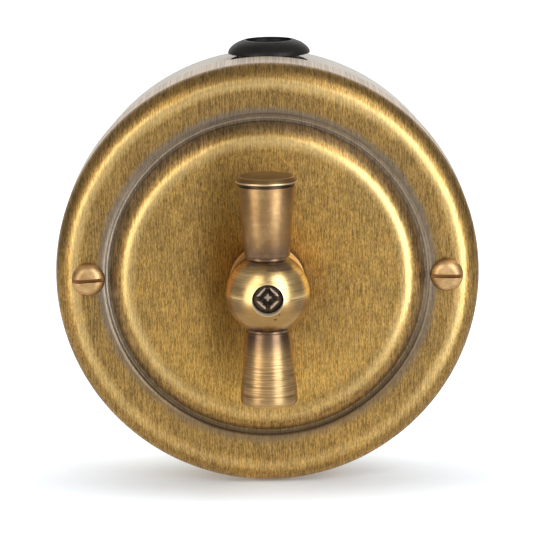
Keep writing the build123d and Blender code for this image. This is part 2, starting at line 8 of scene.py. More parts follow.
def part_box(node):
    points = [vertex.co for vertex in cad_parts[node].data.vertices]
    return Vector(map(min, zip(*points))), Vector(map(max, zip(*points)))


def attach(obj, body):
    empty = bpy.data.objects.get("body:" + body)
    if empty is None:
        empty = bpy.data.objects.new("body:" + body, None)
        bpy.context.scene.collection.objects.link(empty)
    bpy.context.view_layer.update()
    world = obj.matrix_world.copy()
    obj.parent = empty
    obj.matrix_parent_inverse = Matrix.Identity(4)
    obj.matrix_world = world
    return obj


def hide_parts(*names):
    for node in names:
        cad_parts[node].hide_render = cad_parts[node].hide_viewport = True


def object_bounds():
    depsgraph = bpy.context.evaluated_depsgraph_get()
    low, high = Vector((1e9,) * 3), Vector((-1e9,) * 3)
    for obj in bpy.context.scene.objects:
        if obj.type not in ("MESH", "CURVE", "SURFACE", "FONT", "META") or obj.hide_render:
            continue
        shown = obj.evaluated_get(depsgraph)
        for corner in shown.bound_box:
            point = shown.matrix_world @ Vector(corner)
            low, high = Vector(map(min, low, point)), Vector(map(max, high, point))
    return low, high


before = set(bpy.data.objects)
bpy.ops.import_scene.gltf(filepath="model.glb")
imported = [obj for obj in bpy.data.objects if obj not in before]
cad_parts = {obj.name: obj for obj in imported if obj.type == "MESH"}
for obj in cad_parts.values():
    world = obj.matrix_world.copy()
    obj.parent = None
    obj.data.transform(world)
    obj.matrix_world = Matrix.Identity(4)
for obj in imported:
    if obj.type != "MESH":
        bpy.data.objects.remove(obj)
cad_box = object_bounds()
scene = bpy.context.scene
mm = 0.001


# Camera
# The photograph was taken with a long lens, straight in front of the switch and a little above
# it. The switch itself leans by less than a degree in the picture.
scene.view_settings.view_transform = "Standard"
picture_width = 535
pixels_per_radian = 3381
target = Vector((0.02, -36.2, 1.11)) * mm
camera_distance = 720 * mm
camera_height = radians(10.5)
camera_lean = radians(0.81)

away = Vector((0, -cos(camera_height), sin(camera_height)))
camera_data = bpy.data.cameras.new("camera")
camera_data.lens = camera_data.sensor_width * pixels_per_radian / picture_width
camera_data.clip_start = 50 * mm
camera_data.clip_end = 20
camera = bpy.data.objects.new("camera", camera_data)
camera.matrix_world = (
    Matrix.Translation(target + away * camera_distance)
    @ away.to_track_quat("Z", "Y").to_matrix().to_4x4()
    @ Matrix.Rotation(-camera_lean, 4, "Z")
)
scene.collection.objects.link(camera)
scene.camera = camera


# Studio
# A white table in a pale room, with a tall softbox on each side of the camera, the right one the
# brighter. The camera sees the table brighter than the switch does, and duller under the switch,
# which is the soft shadow that the photograph shows.
table_width = 0.7
table_length = 2.6
table_front = 0.13
table_drop = 0.2 * mm
table_seen = (0.91, 0.96, 1.01, 1)
table_warmth = (1, 0.84, 0.6, 1)
table_reflected = 0.26
table_shades = ((0.75, 0.79, 0.84, 1), (0.77, 0.81, 0.86, 1))
contact_place = (0, -36 * mm, 0)
shadow_stretch = (0.36, 1, 0)
shadow_reach = 39 * mm
shadow_glow = 0.12
open_glow = 0.82
white = (1, 1, 1, 1)
room_front = (0.64, 0.62, 0.58, 1)
room_side = (0.2, 0.195, 0.19, 1)
room_top = (0.36, 0.35, 0.34, 1)
room_back = (1.0, 0.99, 0.97, 1)
softboxes = {
    "right_softbox": ((0.68, -0.84, 0.36), (0.66, 1.8), 12.6, (0.96, 0.98, 1.0), 0),
    "left_softbox": ((-0.8, -0.82, 0.32), (0.56, 1.8), 7.6, (1.0, 0.95, 0.84), -17),
}

for name, (place, size, power, tint, lean) in softboxes.items():
    lamp = bpy.data.lights.new(name, "AREA")
    lamp.shape = "RECTANGLE"
    lamp.size, lamp.size_y = size
    lamp.energy = power
    lamp.color = tint
    softbox = bpy.data.objects.new(name, lamp)
    softbox.matrix_world = (
        Matrix.Translation(place)
        @ (Vector(place) - target).to_track_quat("Z", "Y").to_matrix().to_4x4()
        @ Matrix.Rotation(radians(lean), 4, "Z")
    )
    scene.collection.objects.link(softbox)


def node(tree, kind, inputs=None, **settings):
    """Adds a node. Each input is given a value, or the output that feeds it."""
    made = tree.nodes.new(kind)
    for key, value in settings.items():
        setattr(made, key, value)
    for key, value in (inputs or {}).items():
        if isinstance(value, bpy.types.NodeSocket):
            tree.links.new(value, made.inputs[key])
        else:
            made.inputs[key].default_value = value
    return made


def new_material(name, **constants):
    """Starts a material with the given constants. Returns it with its tree and its shader."""
    made = bpy.data.materials.new(name)
    made.use_nodes = True
    shader = made.node_tree.nodes["Principled BSDF"]
    sockets = {socket.name.lower().replace(" ", "_"): socket for socket in shader.inputs}
    for key, value in constants.items():
        sockets[key].default_value = value
    return made, made.node_tree, shader


def mix(tree, factor, first, second, blend_type="MIX"):
    """Mixes two colours."""
    inputs = {0: factor, 6: first, 7: second}
    made = node(tree, "ShaderNodeMix", inputs, data_type="RGBA", blend_type=blend_type)
    return made.outputs[2]


def remap(tree, value, low, high, new_low=0.0, new_high=1.0):
    """Spreads the values from low to high over another range, and holds them beyond it."""
    inputs = {0: value, 1: low, 2: high, 3: new_low, 4: new_high}
    return node(tree, "ShaderNodeMapRange", inputs, interpolation_type="SMOOTHSTEP").outputs[0]


def calc(tree, operation, first, second=0.0):
    """One step of arithmetic."""
    return node(tree, "ShaderNodeMath", {0: first, 1: second}, operation=operation).outputs[0]


def vector_calc(tree, operation, first, second=(0, 0, 0), output="Vector"):
    """One step of arithmetic with vectors. A length or a distance is the output Value."""
    made = node(tree, "ShaderNodeVectorMath", {0: first, 1: second}, operation=operation)
    return made.outputs[output]


world = bpy.data.worlds.new("room")
world.use_nodes = True
tree = world.node_tree
place = node(tree, "ShaderNodeTexCoord").outputs["Generated"]
direction = node(tree, "ShaderNodeSeparateXYZ", {0: place}).outputs
sideways = calc(tree, "ABSOLUTE", direction["X"])
room = mix(tree, remap(tree, sideways, 0.6, 0.9), room_front, room_side)
room = mix(tree, remap(tree, direction["Z"], 0.1, 0.6), room, room_top)
room = mix(tree, remap(tree, direction["Y"], 0.7, 0.95), room, room_back)
seen = node(tree, "ShaderNodeLightPath").outputs["Is Camera Ray"]
tree.links.new(mix(tree, seen, room, white), tree.nodes["Background"].inputs["Color"])
scene.world = world

table_bm = bmesh.new()
bmesh.ops.create_grid(table_bm, x_segments=1, y_segments=1, size=0.5)
bmesh.ops.scale(table_bm, verts=table_bm.verts, vec=(table_width, table_length, 1))
bmesh.ops.translate(table_bm, verts=table_bm.verts,
                    vec=(0, table_length / 2 - table_front, cad_box[0].z - table_drop))
table_mesh = bpy.data.meshes.new("table")
table_bm.to_mesh(table_mesh)
table_bm.free()
table = bpy.data.objects.new("table", table_mesh)
scene.collection.objects.link(table)
table_paint, tree, shader = new_material("table_paint", roughness=0.9)
place = node(tree, "ShaderNodeTexCoord").outputs["Object"]
from_contact = vector_calc(tree, "SUBTRACT", place, contact_place)
from_contact = vector_calc(tree, "MULTIPLY", from_contact, shadow_stretch)
from_contact = vector_calc(tree, "LENGTH", from_contact, output="Value")
glow = remap(tree, from_contact, 0.0, shadow_reach, shadow_glow, open_glow)
seen = node(tree, "ShaderNodeLightPath").outputs["Is Camera Ray"]
glow = remap(tree, seen, 0.0, 1.0, table_reflected, glow)
glow_colour = mix(tree, seen, table_warmth, table_seen)
tree.links.new(glow_colour, shader.inputs["Emission Color"])
tree.links.new(glow, shader.inputs["Emission Strength"])
grain = node(tree, "ShaderNodeTexNoise", {"Scale": 3.0}).outputs["Fac"]
tree.links.new(mix(tree, grain, *table_shades), shader.inputs["Base Color"])
table_mesh.materials.append(table_paint)


# Cover
# One dish drawn from brass sheet: a skirt, a rounded rim, a flat ring with two screw holes, a
# pressed groove and a raised disc. It is brushed in straight upright lines, aged brown, and worn
# bright on its edges, with painted highlights on those edges and painted shade and reflections
# elsewhere.
cover_low, cover_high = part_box("cover")
cover_r = cover_high.x
disc_front = -cover_low.y
skirt_back = -cover_high.y
ring_front = 41.0 * mm
sheet = 1.0 * mm
rim_round = 4.6 * mm
ring_in_r = 34.7 * mm
groove_r = 34.1 * mm
shoulder_r = 33.3 * mm
shoulder_round = 4.2 * mm
disc_corner_r = 32.65 * mm
groove_front = ring_front - 0.6 * mm
cover_hole_r = 4.5 * mm
screw_r = 37.9 * mm
screw_hole_r = 2.1 * mm

forward = Vector((0, -1, 0))
upward = Vector((0, 0, 1))
arc_step = 0.4 * mm
bevel_step = 0.3 * mm
weld = 0.002 * mm
crease_angle = 35


def turned(name, corners, centre=Vector(), axis=forward, out=Vector((1, 0, 0)), steps=256):
    """Turns a closed outline about an axis.

    A corner is its radius, its place along the axis and its rounding. With a fourth value, the
    centre of an arc, the line from the corner before it is that arc.
    """
    bm = bmesh.new()
    side = out.cross(axis)
    points = []
    for radius, place, _, *arc in corners:
        if arc:
            hub = Vector(arc[0])
            start = Vector(corners[len(points) - 1][:2]) - hub
            turn = -start.angle_signed(Vector((radius, place)) - hub)
            arc_steps = int(abs(turn) * start.length / arc_step)
            swept = bmesh.ops.spin(bm, geom=[points[-1]], cent=centre + out * hub.x + axis * hub.y,
                                   axis=side, angle=turn, steps=arc_steps)
            points += [part for part in swept["geom_last"] if isinstance(part, bmesh.types.BMVert)]
        else:
            points.append(bm.verts.new(centre + out * radius + axis * place))
            if len(points) > 1:
                bm.edges.new((points[-2], points[-1]))
    if corners[0][0] or corners[-1][0]:
        bm.edges.new((points[-1], points[0]))
    for point, (_, _, rounding, *_) in zip(points, corners):
        if rounding:
            bmesh.ops.bevel(bm, geom=[point], offset=rounding, offset_type="OFFSET", profile=0.5,
                            affect="VERTICES", segments=3 + int(rounding / bevel_step), material=-1)
    bmesh.ops.remove_doubles(bm, verts=bm.verts, dist=weld)
    bmesh.ops.spin(bm, geom=bm.verts[:] + bm.edges[:], cent=centre, axis=axis, angle=2 * pi,
                   steps=steps, use_merge=True)
    bmesh.ops.remove_doubles(bm, verts=bm.verts, dist=weld)
    poles = [vert for vert in bm.verts if (vert.co - centre).cross(axis).length < weld / 2]
    bmesh.ops.dissolve_verts(bm, verts=poles)
    bmesh.ops.recalc_face_normals(bm, faces=bm.faces)
    return piece_of(bm, name)


def piece_of(bm, name, crease=crease_angle):
    """Makes an object of a bmesh, shaded smooth but for edges sharper than the crease."""
    mesh = bpy.data.meshes.new(name)
    bm.to_mesh(mesh)
    bm.free()
    mesh.shade_smooth()
    mesh.set_sharp_from_angle(angle=radians(crease))
    piece = bpy.data.objects.new(name, mesh)
    scene.collection.objects.link(piece)
    return piece


def rod(radius, start, end, steps=96):
    """A plain round bar from one point to another, to cut with."""
    bm = bmesh.new()
    bmesh.ops.create_cone(bm, cap_ends=True, segments=steps, radius1=radius, radius2=radius,
                          depth=(end - start).length)
    turn = (end - start).to_track_quat("Z", "Y").to_matrix().to_4x4()
    bmesh.ops.transform(bm, matrix=Matrix.Translation((start + end) / 2) @ turn, verts=bm.verts)
    return piece_of(bm, "cutter")


def bar(size, place, turn=Matrix()):
    """A rectangular bar about a place, to cut with."""
    bm = bmesh.new()
    bmesh.ops.create_cube(bm, size=1, matrix=Matrix.Diagonal((*size, 1)))
    bmesh.ops.transform(bm, matrix=Matrix.Translation(place) @ turn, verts=bm.verts)
    return piece_of(bm, "cutter")


def cut(piece, cutters, crease=crease_angle):
    """Cuts the cutters out of a piece and keeps the result as its mesh."""
    for cutter in cutters:
        modifier = piece.modifiers.new("cut", "BOOLEAN")
        modifier.object = cutter
        modifier.solver = "EXACT"
    carved = piece.evaluated_get(bpy.context.evaluated_depsgraph_get())
    piece.data = bpy.data.meshes.new_from_object(carved)
    piece.data.shade_smooth()
    piece.data.set_sharp_from_angle(angle=radians(crease))
    piece.modifiers.clear()
    for cutter in cutters:
        bpy.data.objects.remove(cutter)


cover = turned("drawn_cover", [
    (cover_hole_r, disc_front, 0.15 * mm),
    (disc_corner_r, disc_front, shoulder_round),
    (shoulder_r, groove_front, 0.04 * mm),
    (groove_r, groove_front, 0.3 * mm),
    (ring_in_r, ring_front, 0.55 * mm),
    (cover_r, ring_front, rim_round),
    (cover_r, skirt_back, 0.2 * mm),
    (cover_r - sheet, skirt_back, 0.2 * mm),
    (cover_r - sheet, ring_front - sheet, rim_round - sheet),
    (ring_in_r, ring_front - sheet, 0.3 * mm),
    (groove_r - 0.2 * mm, groove_front - sheet, 0.3 * mm),
    (shoulder_r - sheet, groove_front - sheet, 0.3 * mm),
    (disc_corner_r - 0.8 * mm, disc_front - sheet, shoulder_round - sheet),
    (cover_hole_r, disc_front - sheet, 0.15 * mm),
])
hole_back = forward * (ring_front - 2 * sheet)
hole_front = forward * (ring_front + sheet)
cut(cover, [
    rod(screw_hole_r, hole_back + spot, hole_front + spot)
    for spot in (Vector((screw_r, 0, 0)), Vector((-screw_r, 0, 0)))
])

golden = (0.55, 0.34, 0.095, 1)
olive = (0.4, 0.258, 0.08, 1)
umber = (0.22, 0.125, 0.045, 1)
amber = (0.62, 0.3, 0.075, 1)
rose_grey = (0.4, 0.27, 0.15, 1)
near_black = (0.045, 0.033, 0.027, 1)
patina_grey = (0.22, 0.19, 0.16, 1)
edge_gold = (0.88, 0.64, 0.28, 1)
handle_shadow_brown = (0.2, 0.105, 0.02, 1)
steel_grey = (0.72, 0.64, 0.55, 1)
skirt_rose = (0.76, 0.64, 0.52, 1)
ring_brown = (0.3, 0.19, 0.07, 1)
bright_low_gold = (0.68, 0.42, 0.115, 1)
brush_lines = (5200, 200, 1250)
long_brush_lines = (4700, 200, 260)
cover_patches = 62.0
flattened = (1, 0, 1)
handle_shadow_place = (-8.5 * mm, 0, 2 * mm)
handle_shadow_stretch = (1, 0, 0.22)
ramp_start = 20 * mm
ramp_end = 46 * mm
relief_height = 0.02 * mm


def new_group(name, inputs, outputs):
    """Starts a node group. Returns it with its inputs and outputs."""
    tree = bpy.data.node_groups.new(name, "ShaderNodeTree")
    for label, kind in inputs.items():
        tree.interface.new_socket(label, in_out="INPUT", socket_type="NodeSocket" + kind)
    for label in outputs:
        tree.interface.new_socket(label, in_out="OUTPUT", socket_type="NodeSocketFloat")
    given = tree.nodes.new("NodeGroupInput").outputs
    return tree, given, tree.nodes.new("NodeGroupOutput").inputs


fine_lines, given, result = new_group(
    "fine_lines", {"Vector": "Vector", "Lines Per Metre": "Vector"}, ("Lines", "Bands"),
)
scaled = vector_calc(fine_lines, "MULTIPLY", given["Vector"], given["Lines Per Metre"])
lines = node(fine_lines, "ShaderNodeTexNoise", {
    "Vector": scaled, "Scale": 1.0, "Detail": 3.0, "Roughness": 0.65,
}).outputs["Fac"]
bands = node(fine_lines, "ShaderNodeTexNoise", {
    "Vector": scaled, "Scale": 0.3, "Detail": 3.0,
}).outputs["Fac"]
fine_lines.links.new(remap(fine_lines, lines, 0.3, 0.7), result["Lines"])
fine_lines.links.new(remap(fine_lines, bands, 0.3, 0.7), result["Bands"])

aged_patches, given, result = new_group(
    "aged_patches", {"Vector": "Vector", "Patches Per Metre": "Float"}, ("Patches", "Specks"),
)
patch_scale = given["Patches Per Metre"]
patches = node(aged_patches, "ShaderNodeTexNoise", {
    "Vector": given["Vector"], "Scale": patch_scale, "Detail": 5.0, "Roughness": 0.62,
}).outputs["Fac"]
speck_scale = calc(aged_patches, "MULTIPLY", patch_scale, 9.0)
specks = node(aged_patches, "ShaderNodeTexNoise", {
    "Vector": given["Vector"], "Scale": speck_scale, "Detail": 3.0, "Roughness": 0.7,
}).outputs["Fac"]
aged_patches.links.new(remap(aged_patches, patches, 0.36, 0.64), result["Patches"])
aged_patches.links.new(remap(aged_patches, specks, 0.35, 0.7), result["Specks"])


def lines_on(tree, place, lines_per_metre):
    """Fine lines at a place, with so many to a metre along each axis."""
    inputs = {"Vector": place, "Lines Per Metre": lines_per_metre}
    return node(tree, "ShaderNodeGroup", inputs, node_tree=fine_lines).outputs


def patches_on(tree, place, patches_per_metre):
    """Aged patches and specks at a place, with so many patches to a metre."""
    inputs = {"Vector": place, "Patches Per Metre": patches_per_metre}
    return node(tree, "ShaderNodeGroup", inputs, node_tree=aged_patches).outputs


def times(tree, first, *others):
    """Multiplies values."""
    for other in others:
        first = calc(tree, "MULTIPLY", first, other)
    return first


def evenly(tree, value, low, high):
    """Spreads the values from low to high evenly over 0 to 1."""
    return node(tree, "ShaderNodeMapRange", {0: value, 1: low, 2: high}).outputs[0]


def ramp(tree, factor, stops):
    """A colour ramp through the given places and colours."""
    made = node(tree, "ShaderNodeValToRGB", {"Fac": factor})
    elements = made.color_ramp.elements
    while len(elements) < len(stops):
        elements.new(1.0)
    for element, (position, colour) in zip(elements, stops):
        element.position = position
        element.color = colour
    return made.outputs


def on_ramp(stops):
    """Turns stops at a radius in millimetres into stops on a ramp."""
    return [((stop * mm - ramp_start) / (ramp_end - ramp_start), colour) for stop, colour in stops]


def grey(level):
    """A grey, for a ramp that serves as a mask."""
    return (level, level, level, 1)


def tinted(colour, strength):
    """A colour with its strength as its alpha."""
    return (*colour[:3], strength)


def as_grey(tree, value):
    """A grey as bright as a value."""
    return node(tree, "ShaderNodeCombineColor", {0: value, 1: value, 2: value}).outputs[0]


def add_relief(tree, shader, height, strength, distance=relief_height):
    """Gives a surface a faint relief."""
    bump = node(tree, "ShaderNodeBump", {
        "Height": height, "Strength": strength, "Distance": distance,
    })
    tree.links.new(bump.outputs["Normal"], shader.inputs["Normal"])


# Brushed brass under its patches
aged_brass, tree, shader = new_material("aged_brass", metallic=1.0)
place = node(tree, "ShaderNodeTexCoord").outputs["Object"]
axes = node(tree, "ShaderNodeSeparateXYZ", {0: place}).outputs
flat_place = vector_calc(tree, "MULTIPLY", place, flattened)
radius = vector_calc(tree, "LENGTH", flat_place, output="Value")
brushing = lines_on(tree, place, brush_lines)
long_strokes = lines_on(tree, place, long_brush_lines)["Lines"]
strokes = times(tree, calc(tree, "ADD", brushing["Lines"], long_strokes), 0.5)
ageing = patches_on(tree, place, cover_patches)
brass = mix(tree, ageing["Patches"], olive, golden)
brass = mix(tree, times(tree, ageing["Specks"], 0.45), brass, umber)
brass = mix(tree, times(tree, brushing["Bands"], 0.16), brass, rose_grey)

# Worn edges with a painted highlight on them, weaker towards the bottom, then the patina with
# painted shade, and the line in the groove with painted shade and highlight
uneven = remap(tree, ageing["Patches"], 0.0, 1.0, -0.15 * mm, 0.15 * mm)
along_ramp = evenly(tree, calc(tree, "ADD", radius, uneven), ramp_start, ramp_end)
sharp_ramp = evenly(tree, radius, ramp_start, ramp_end)
wear_and_highlight = ramp(tree, along_ramp, on_ramp([
    (27.6, grey(0)), (29.5, grey(1)), (30.3, grey(0.6)), (31.0, grey(0)),
    (39.5, grey(0)), (40.9, grey(1)), (41.9, grey(0.6)), (42.5, grey(0)),
]))["Color"]
wear_and_highlight = times(tree, wear_and_highlight, remap(tree, axes["Z"], -36 * mm, -8 * mm, 0.45, 1.0))
brass = mix(tree, times(tree, wear_and_highlight, 0.75), brass, edge_gold)
# Patina in the groove, and painted shade beside the shoulder's highlight and on the rim's outer
# band, stronger towards the top.
patina_and_shade = ramp(tree, along_ramp, on_ramp([
    (30.2, tinted(umber, 0)), (31.0, tinted(umber, 0.4)),
    (32.8, tinted(patina_grey, 0.5)), (34.2, tinted(patina_grey, 0.9)),
    (35.3, tinted(patina_grey, 0.85)), (36.6, tinted(ring_brown, 0.7)),
    (39.2, tinted(ring_brown, 0.6)), (40.2, tinted(ring_brown, 0)),
    (41.9, tinted(umber, 0)), (42.8, tinted(umber, 0.45)), (45.5, tinted(umber, 0.35)),
]))
darker_above = remap(tree, axes["Z"], -36 * mm, 0.0, 0.5, 1.0)
brass = mix(tree, times(tree, patina_and_shade["Alpha"], darker_above), brass, patina_and_shade["Color"])
# A dark line in the groove, patina with painted shade, and a painted highlight on its outer wall,
# both stronger towards the top.
groove_shade_and_highlight = ramp(tree, sharp_ramp, on_ramp([
    (32.6, tinted(near_black, 0)), (33.2, tinted(near_black, 0.45)), (33.75, tinted(near_black, 0.45)),
    (34.0, tinted(steel_grey, 0.9)), (34.5, tinted(steel_grey, 0.9)),
    (34.9, tinted(patina_grey, 0)),
]))
toward_top = remap(tree, axes["Z"], -22 * mm, 12 * mm, 0.1, 1.0)
brass = mix(tree, times(tree, groove_shade_and_highlight["Alpha"], toward_top), brass, groove_shade_and_highlight["Color"])
# Painted shade in the groove, strongest towards the bottom.
groove_shade = ramp(tree, sharp_ramp, on_ramp([
    (33.0, grey(0)), (33.7, grey(1)), (34.2, grey(1)), (34.8, grey(0.4)), (36.6, grey(0)),
]))["Color"]
shaded_below = remap(tree, axes["Z"], -26 * mm, 0.0, 0.7, 0.0)
brass = mix(tree, times(tree, groove_shade, shaded_below), brass, near_black)

# Painted light low on the disc, a painted warm reflection of the handle in the middle, the
# handle's painted shadow beside it, and a painted pale reflection on the skirt
# Painted light: brighter brass low on the disc.
brighter_below = remap(tree, axes["Z"], -24 * mm, -6 * mm, 0.7, 0.0)
on_disc = remap(tree, radius, 25 * mm, 29 * mm, 1.0, 0.0)
brass = mix(tree, times(tree, brighter_below, on_disc), brass, bright_low_gold)
# A painted warm reflection of the handle around the middle of the disc.
brass = mix(tree, remap(tree, radius, 8 * mm, 15 * mm, 0.4, 0.0), brass, amber)
# The handle's painted shadow, to the left of it on the disc.
from_handle_shadow = vector_calc(tree, "SUBTRACT", place, handle_shadow_place)
from_handle_shadow = vector_calc(tree, "MULTIPLY", from_handle_shadow, handle_shadow_stretch)
from_handle_shadow = vector_calc(tree, "LENGTH", from_handle_shadow, output="Value")
brass = mix(tree, remap(tree, from_handle_shadow, 1.5 * mm, 8.0 * mm, 0.8, 0.0), brass, handle_shadow_brown)
# A painted pale reflection on the skirt.
on_skirt = remap(tree, axes["Y"], -36.8 * mm, -35.2 * mm)
brass = mix(tree, times(tree, on_skirt, 0.85), brass, skirt_rose)

# The brushed lines, fainter on the worn and highlit edges and in the groove
ticks = node(tree, "ShaderNodeTexNoise", {
    "Vector": flat_place, "Scale": 2400.0, "Detail": 1.0,
}).outputs["Fac"]
strokes = remap(tree, on_skirt, 0.0, 1.0, strokes, remap(tree, ticks, 0.4, 0.6, 0.42, 0.6))
hatch = as_grey(tree, remap(tree, strokes, 0.1, 0.9, 0.5, 1.5))
smoother = ramp(tree, sharp_ramp, on_ramp([
    (33.4, grey(0)), (34.0, grey(1)), (35.2, grey(1)), (36.6, grey(0)),
]))["Color"]
smoother = times(tree, calc(tree, "MAXIMUM", wear_and_highlight, smoother), 0.6)
hatch = mix(tree, smoother, hatch, white)
tree.links.new(mix(tree, 1.0, brass, hatch, "MULTIPLY"), shader.inputs["Base Color"])
tree.links.new(remap(tree, wear_and_highlight, 0.0, 1.0, 0.42, 0.32), shader.inputs["Roughness"])
add_relief(tree, shader, strokes, 0.35)
cover.data.materials.append(aged_brass)
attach(cover, "housing")
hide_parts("cover")


# Cover screws
# Two slotted round-head screws of coppery brass. They pass through the flat ring of the cover
# into the threaded inserts in the base.
head_r = 3.5 * mm
head_h = 2.4 * mm
head_round = 2.1 * mm
screw_slot_w = 0.75 * mm
screw_slot_depth = 1.2 * mm
screw_length = 12.0 * mm
screw_thread_r = 1.95 * mm
slot_leans = {
    "left_cover_screw": (-screw_r, radians(3)),
    "right_cover_screw": (screw_r, radians(-1)),
}

copper = (0.84, 0.57, 0.29, 1)
dull_copper = (0.56, 0.36, 0.17, 1)
slot_shade_brown = (0.3, 0.15, 0.06, 1)
slot_slope = 0.035
copper_lines = (500, 900, 5200)
copper_patches = 260.0
copper_brass, tree, shader = new_material("copper_brass", metallic=1.0, roughness=0.46)
place = node(tree, "ShaderNodeTexCoord").outputs["Object"]
axes = node(tree, "ShaderNodeSeparateXYZ", {0: place}).outputs
polish = lines_on(tree, place, copper_lines)["Lines"]
ageing = patches_on(tree, place, copper_patches)
tone = mix(tree, ageing["Patches"], dull_copper, copper)
tone = mix(tree, times(tree, polish, 0.35), tone, umber)
low = remap(tree, axes["Y"], -ring_front - 1.7 * mm, -ring_front - 0.1 * mm, 0.0, 0.85)
tone = mix(tree, low, tone, umber)
outward = calc(tree, "SUBTRACT", calc(tree, "ABSOLUTE", axes["X"]), screw_r)
# Painted shade in the screws' slots.
from_slot = calc(tree, "ABSOLUTE", calc(tree, "ADD", axes["Z"], times(tree, outward, slot_slope)))
in_slot = calc(tree, "LESS_THAN", from_slot, screw_slot_w / 2)
tree.links.new(mix(tree, in_slot, tone, slot_shade_brown), shader.inputs["Base Color"])
add_relief(tree, shader, polish, 0.2)
for name, (side_place, lean) in slot_leans.items():
    screw_place = Vector((side_place, 0, 0))
    screw = turned(name, [
        (0, ring_front + head_h, 0),
        (head_r, ring_front + head_h, head_round),
        (head_r, ring_front, 0.1 * mm),
        (screw_thread_r, ring_front, 0),
        (screw_thread_r, ring_front - screw_length, 0.4 * mm),
        (0, ring_front - screw_length, 0),
    ], centre=screw_place, steps=128)
    slot_middle = ring_front + head_h - screw_slot_depth / 2 + mm / 2
    cut(screw, [bar((3 * head_r, screw_slot_depth + mm, screw_slot_w),
                    screw_place + forward * slot_middle, Matrix.Rotation(-lean, 4, "Y"))])
    screw.data.materials.append(copper_brass)
    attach(screw, "housing")
    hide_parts("cover_screws")


# Cable grommet
# Moulded black rubber in the cable entry: a domed flange with a shallow cup, a neck and a lip
# inside the base.
entry = Vector((1.0, -13.0, 0)) * mm
grommet_bore_r = 3.5 * mm
grommet_stem_r = 6.6 * mm
entry_hole_r = 5.75 * mm
grommet_lip_r = 7.0 * mm
grommet_flange_r = 8.9 * mm
grommet_top_r = 5.45 * mm
grommet_cup_r = 5.0 * mm
web_place = 38.9 * mm
recess_place = 40.9 * mm
flange_place = 44.3 * mm
flange_edge = 0.5 * mm
dome_top = 47.2 * mm
cup_floor = dome_top - 0.9 * mm
rubber_patches = 300.0
rubber_shades = ((0.006, 0.0055, 0.005, 1), (0.011, 0.01, 0.009, 1))

grommet = turned("rubber_grommet", [
    (grommet_bore_r, web_place - 1.5 * mm, 0.3 * mm),
    (grommet_lip_r, web_place - 0.5 * mm, 0.3 * mm),
    (grommet_lip_r, web_place, 0.1 * mm),
    (entry_hole_r, web_place, 0),
    (entry_hole_r, recess_place, 0),
    (grommet_stem_r, recess_place, 0.1 * mm),
    (grommet_stem_r, flange_place, 0.2 * mm),
    (grommet_flange_r, flange_place, 0.15 * mm),
    (grommet_flange_r, flange_place + flange_edge, 0.4 * mm),
    (grommet_flange_r - 0.9 * mm, flange_place + 1.9 * mm, 1.4 * mm),
    (grommet_top_r, dome_top, 0.4 * mm),
    (grommet_cup_r, dome_top, 0.3 * mm),
    (grommet_cup_r, cup_floor, 0.25 * mm),
    (grommet_bore_r, cup_floor, 0.2 * mm),
], centre=entry, axis=upward, steps=160)
black_rubber, tree, shader = new_material("black_rubber", specular_ior_level=0.28)
place = node(tree, "ShaderNodeTexCoord").outputs["Object"]
bloom = patches_on(tree, place, rubber_patches)
tree.links.new(mix(tree, bloom["Patches"], *rubber_shades), shader.inputs["Base Color"])
tree.links.new(remap(tree, bloom["Specks"], 0.0, 1.0, 0.36, 0.52), shader.inputs["Roughness"])
add_relief(tree, shader, bloom["Specks"], 0.15)
grommet.data.materials.append(black_rubber)
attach(grommet, "housing")
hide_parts("cable_grommet")


# Handle
# A barbell turned in one piece from bronze: a ball between two tapered arms, with a lip and a
# crown at the upper end and a scribed band at the lower one. The ball is counterbored in front
# for the screw and squared behind for the spindle.
handle_centre = Vector((0, -59.3, 0)) * mm
ball_r = 8.65 * mm
foot_groove_r = 4.45 * mm
foot_groove_w = 0.42 * mm
arm_foot_r = 4.65 * mm
arm_end_r = 5.9 * mm
arm_up = 22.6 * mm
arm_down = 23.2 * mm
end_band = 2.4 * mm
end_edge = 0.5 * mm
lip_groove_r = 5.5 * mm
lip_groove_w = 0.65 * mm
lip_r = 6.4 * mm
lip_t = 0.4 * mm
crown_r = 5.6 * mm
crown_h = 0.95 * mm
scribe_w = 0.3 * mm
scribe_depth = 0.12 * mm
scribe_round = 0.04 * mm
equator_w = 0.16 * mm
equator_depth = 0.02 * mm
bore_r = 3.25 * mm
bore_back = 63.1 * mm
bore_front = 70 * mm
drill_r = 1.6 * mm
drill_front = 66 * mm
socket_side = 4.9 * mm
socket_l = 9 * mm
socket_middle = 4.45 * mm

